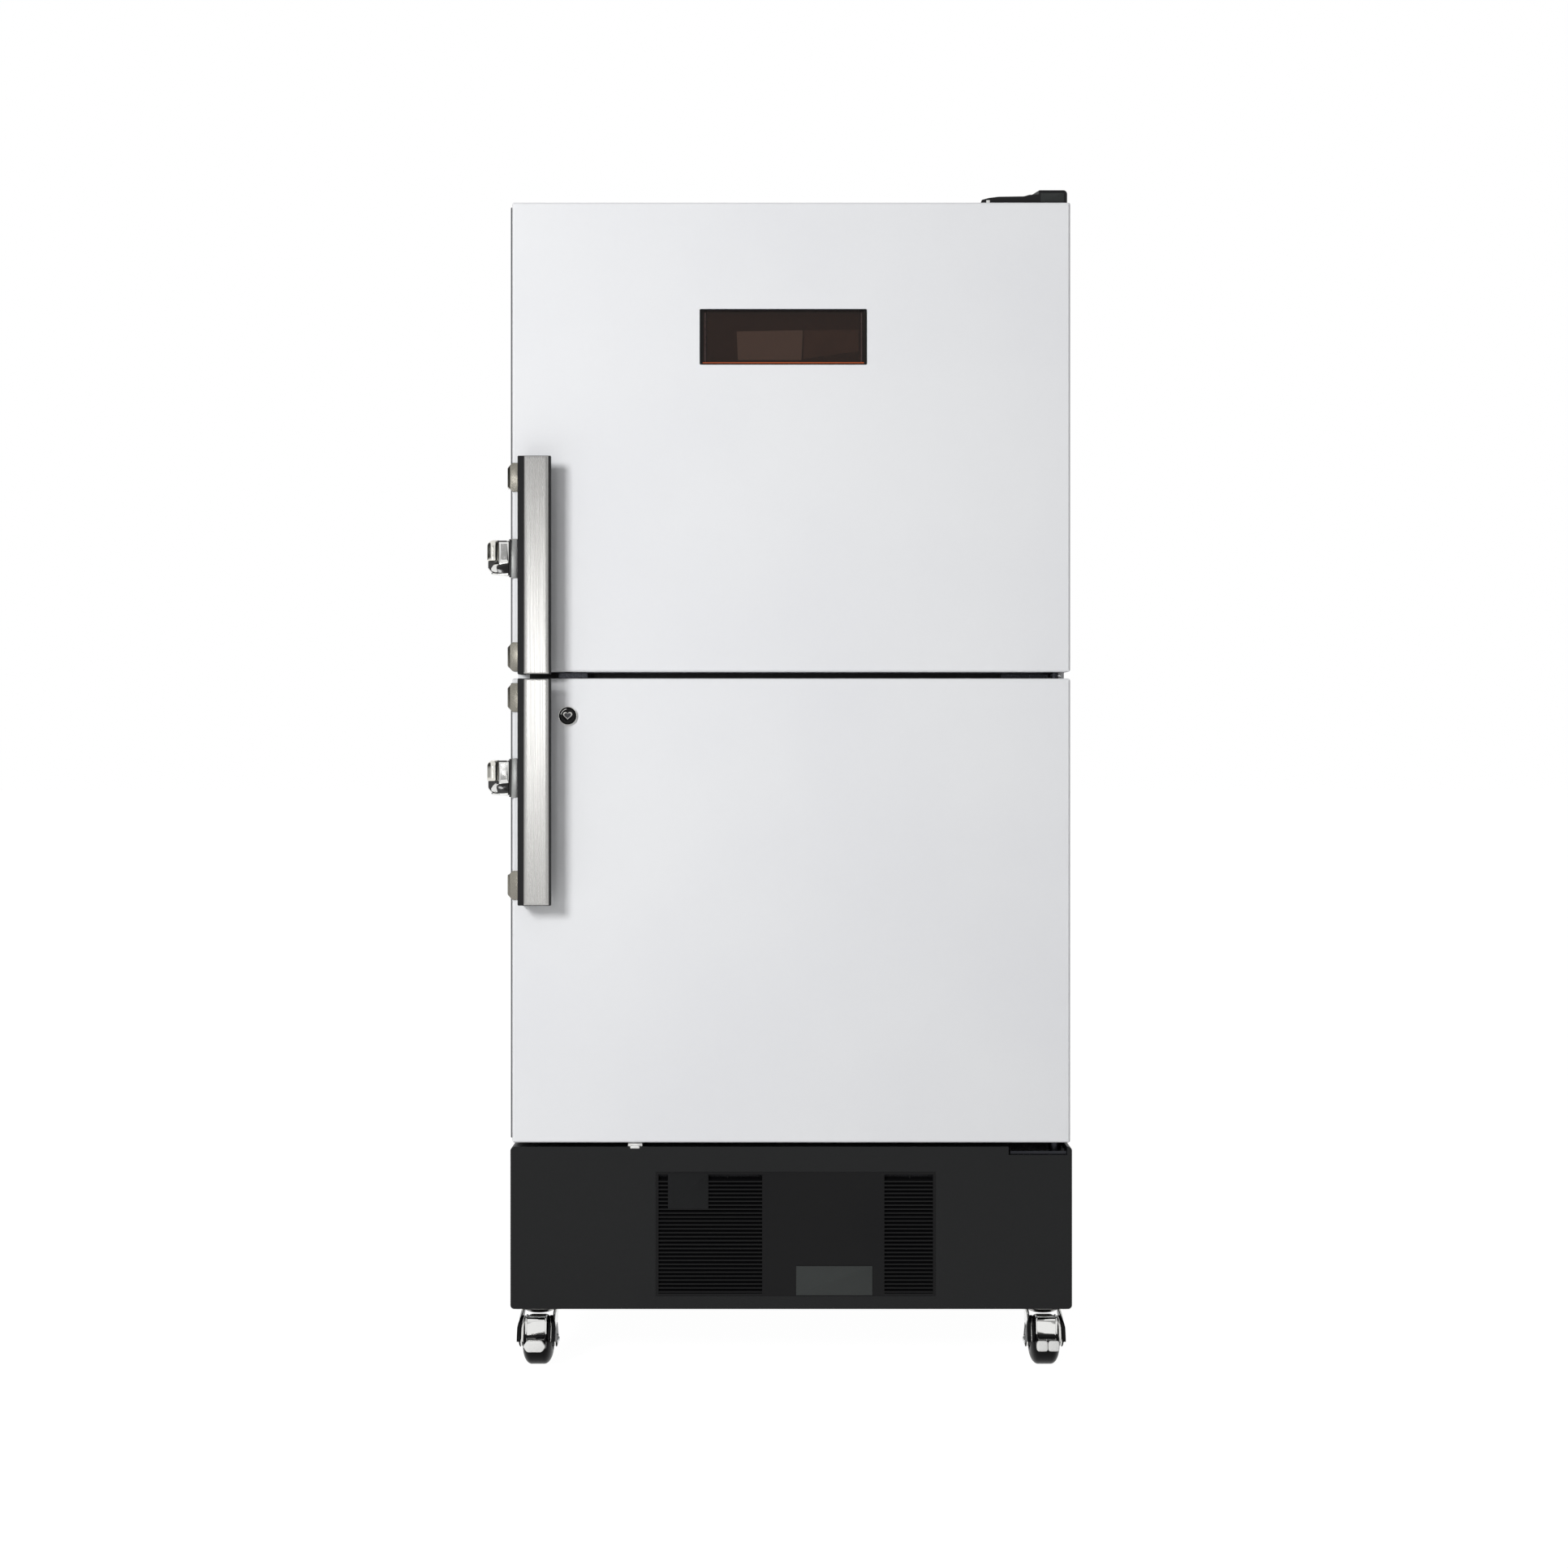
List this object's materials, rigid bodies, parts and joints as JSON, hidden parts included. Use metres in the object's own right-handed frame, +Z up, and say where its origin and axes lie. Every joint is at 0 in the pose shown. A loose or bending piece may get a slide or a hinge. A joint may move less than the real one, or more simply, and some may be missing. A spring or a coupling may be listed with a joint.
{
  "type": "laboratory refrigerator freezer",
  "caption": "Upright laboratory refrigerator over freezer on casters: two insulated doors with bar handles, side latches and key lock, recessed display, louvred machine base.",
  "frame": {"origin": "on the floor, under the middle of the whole part's box", "axes": "+Z up, -Y out of the doors' front, +X to the right as one faces the doors"},
  "size_m": [0.8896, 0.847, 1.8005],
  "materials": {
    "outer_shell": "satin white powder coat",
    "cabinet_foam": "raw insulation foam",
    "liner": "white moulded plastic",
    "front_frame": "black plastic",
    "base_sheet": "matt black powder coat",
    "grille": "black plastic",
    "filter": "open-cell filter foam",
    "heat_exchanger": "thin fins on tubes",
    "compressor": "black enamel",
    "inlet": "black plastic",
    "box_sheet": "grey paint",
    "hinge_steel": "zinc-plated steel",
    "hinge_cover": "black grained plastic",
    "keeper_steel": "satin steel",
    "caster_steel": "bright zinc plate",
    "shelf_wire": "white epoxy-coated wire",
    "rail_steel": "stainless steel",
    "duct": "white plastic",
    "light": "frosted plastic",
    "port": "grey-white plastic",
    "door_skin": "satin white powder coat",
    "door_foam": "raw insulation foam",
    "door_liner": "white moulded plastic",
    "seal": "grey magnetic seal",
    "handle_front": "vertically brushed",
    "handle_channel": "black plastic",
    "handle_bracket": "satin metal",
    "latch_base": "satin metal",
    "latch_lever": "polished chrome",
    "lock_ring": "polished chrome",
    "lock_core": "glossy black face",
    "display_black": "black plastic",
    "display_window": "dark tinted window",
    "fan": "black plastic",
    "caster_fork": "bright zinc plate",
    "caster_wheel": "black rubber tread on a dark core",
    "brake_pedal": "bright plate"
  },
  "bodies": {
    "cabinet": {"outer_shell": "outer_shell", "cabinet_foam": "cabinet_foam", "upper_liner": "liner", "lower_liner": "liner", "front_frame": "front_frame", "base_pan": "base_sheet", "base_front": "base_sheet", "louvre_grille": "grille", "air_filter": "filter", "condenser_unit": "heat_exchanger", "compressors": "compressor", "rear_cover": "base_sheet", "power_inlet": "inlet", "electronics_box": "box_sheet", "top_hinge_bracket": "hinge_steel", "hinge_cover": "hinge_cover", "middle_hinge_bracket": "hinge_steel", "lower_hinge_bracket": "hinge_steel", "door_keepers": "keeper_steel", "caster_plates": "caster_steel", "wire_shelves": "shelf_wire", "shelf_supports": "rail_steel", "air_duct": "duct", "evaporator_coil": "heat_exchanger", "interior_light": "light", "test_port_sleeve": "port"},
    "upper_door": {"upper_door_skin": "door_skin", "upper_door_foam": "door_foam", "upper_door_liner": "door_liner", "upper_door_seal": "seal", "upper_handle_front": "handle_front", "upper_handle_channel": "handle_channel", "upper_handle_brackets": "handle_bracket", "upper_latch_base": "latch_base", "display_housing": "display_black", "display_window": "display_window"},
    "lower_door": {"lower_door_skin": "door_skin", "lower_door_foam": "door_foam", "lower_door_liner": "door_liner", "lower_door_seal": "seal", "lower_handle_front": "handle_front", "lower_handle_channel": "handle_channel", "lower_handle_brackets": "handle_bracket", "lower_latch_base": "latch_base", "lock_barrel": "lock_ring"},
    "lock_cylinder": {"lock_cylinder": "lock_core"},
    "upper_latch_lever": {"upper_latch_lever": "latch_lever"},
    "lower_latch_lever": {"lower_latch_lever": "latch_lever"},
    "condenser_fan": {"condenser_fan": "fan"},
    "evaporator_fan": {"evaporator_fan": "fan"},
    "front_left_fork": {"front_left_fork": "caster_fork"},
    "front_right_fork": {"front_right_fork": "caster_fork"},
    "rear_left_fork": {"rear_left_fork": "caster_fork"},
    "rear_right_fork": {"rear_right_fork": "caster_fork"},
    "front_left_wheel": {"front_left_wheel": "caster_wheel"},
    "front_right_wheel": {"front_right_wheel": "caster_wheel"},
    "rear_left_wheel": {"rear_left_wheel": "caster_wheel"},
    "rear_right_wheel": {"rear_right_wheel": "caster_wheel"},
    "left_brake_pedal": {"left_brake_pedal": "brake_pedal"},
    "right_brake_pedal": {"right_brake_pedal": "brake_pedal"}
  },
  "joints": [
    {"name": "upper_door_swing", "type": "hinge", "parent": "cabinet", "child": "upper_door", "pos_m": [0.42225, -0.339, 1.0615], "axis": [0, 0, 1], "range_deg": [0, 110]},
    {"name": "lower_door_swing", "type": "hinge", "parent": "cabinet", "child": "lower_door", "pos_m": [0.42225, -0.339, 0.3445], "axis": [0, 0, 1], "range_deg": [0, 110]},
    {"name": "upper_latch_pull", "type": "hinge", "parent": "upper_door", "child": "upper_latch_lever", "pos_m": [-0.42275, -0.3535, 1.242], "axis": [-1, 0, 0], "range_deg": [0, 25], "stiffness_Nm_per_rad": 0.6, "springref_deg": -34.38},
    {"name": "lower_latch_pull", "type": "hinge", "parent": "lower_door", "child": "lower_latch_lever", "pos_m": [-0.42275, -0.3535, 0.908], "axis": [-1, 0, 0], "range_deg": [0, 25], "stiffness_Nm_per_rad": 0.6, "springref_deg": -34.38},
    {"name": "lock_turn", "type": "hinge", "parent": "lower_door", "child": "lock_cylinder", "pos_m": [-0.32275, -0.3765, 0.9945], "axis": [0, -1, 0], "range_deg": [0, 90]},
    {"name": "condenser_fan_spin", "type": "hinge", "parent": "cabinet", "child": "condenser_fan", "pos_m": [0.02405, -0.2695, 0.1935], "axis": [0, 1, 0], "continuous": true},
    {"name": "evaporator_fan_spin", "type": "hinge", "parent": "cabinet", "child": "evaporator_fan", "pos_m": [0.01725, 0.3045, 1.5995], "axis": [0, 1, 0], "continuous": true},
    {"name": "front_left_swivel", "type": "hinge", "parent": "cabinet", "child": "front_left_fork", "pos_m": [-0.37075, -0.3185, 0.08], "axis": [0, 0, 1], "continuous": true},
    {"name": "front_left_roll", "type": "hinge", "parent": "front_left_fork", "child": "front_left_wheel", "pos_m": [-0.37075, -0.3405, 0.0375], "axis": [1, 0, 0], "continuous": true},
    {"name": "front_right_swivel", "type": "hinge", "parent": "cabinet", "child": "front_right_fork", "pos_m": [0.40525, -0.3185, 0.08], "axis": [0, 0, 1], "continuous": true},
    {"name": "front_right_roll", "type": "hinge", "parent": "front_right_fork", "child": "front_right_wheel", "pos_m": [0.40525, -0.3405, 0.0375], "axis": [1, 0, 0], "continuous": true},
    {"name": "rear_left_swivel", "type": "hinge", "parent": "cabinet", "child": "rear_left_fork", "pos_m": [-0.37075, 0.3655, 0.08], "axis": [0, 0, 1], "continuous": true},
    {"name": "rear_left_roll", "type": "hinge", "parent": "rear_left_fork", "child": "rear_left_wheel", "pos_m": [-0.37075, 0.3435, 0.0375], "axis": [1, 0, 0], "continuous": true},
    {"name": "rear_right_swivel", "type": "hinge", "parent": "cabinet", "child": "rear_right_fork", "pos_m": [0.40525, 0.3655, 0.08], "axis": [0, 0, 1], "continuous": true},
    {"name": "rear_right_roll", "type": "hinge", "parent": "rear_right_fork", "child": "rear_right_wheel", "pos_m": [0.40525, 0.3435, 0.0375], "axis": [1, 0, 0], "continuous": true},
    {"name": "left_pedal_press", "type": "hinge", "parent": "front_left_fork", "child": "left_brake_pedal", "pos_m": [-0.37075, -0.3864, 0.05153], "axis": [1, 0, 0], "range_deg": [0, 20], "stiffness_Nm_per_rad": 0.5, "springref_deg": -17.19},
    {"name": "right_pedal_press", "type": "hinge", "parent": "front_right_fork", "child": "right_brake_pedal", "pos_m": [0.40525, -0.3864, 0.05153], "axis": [1, 0, 0], "range_deg": [0, 20], "stiffness_Nm_per_rad": 0.5, "springref_deg": -17.19}
  ]
}
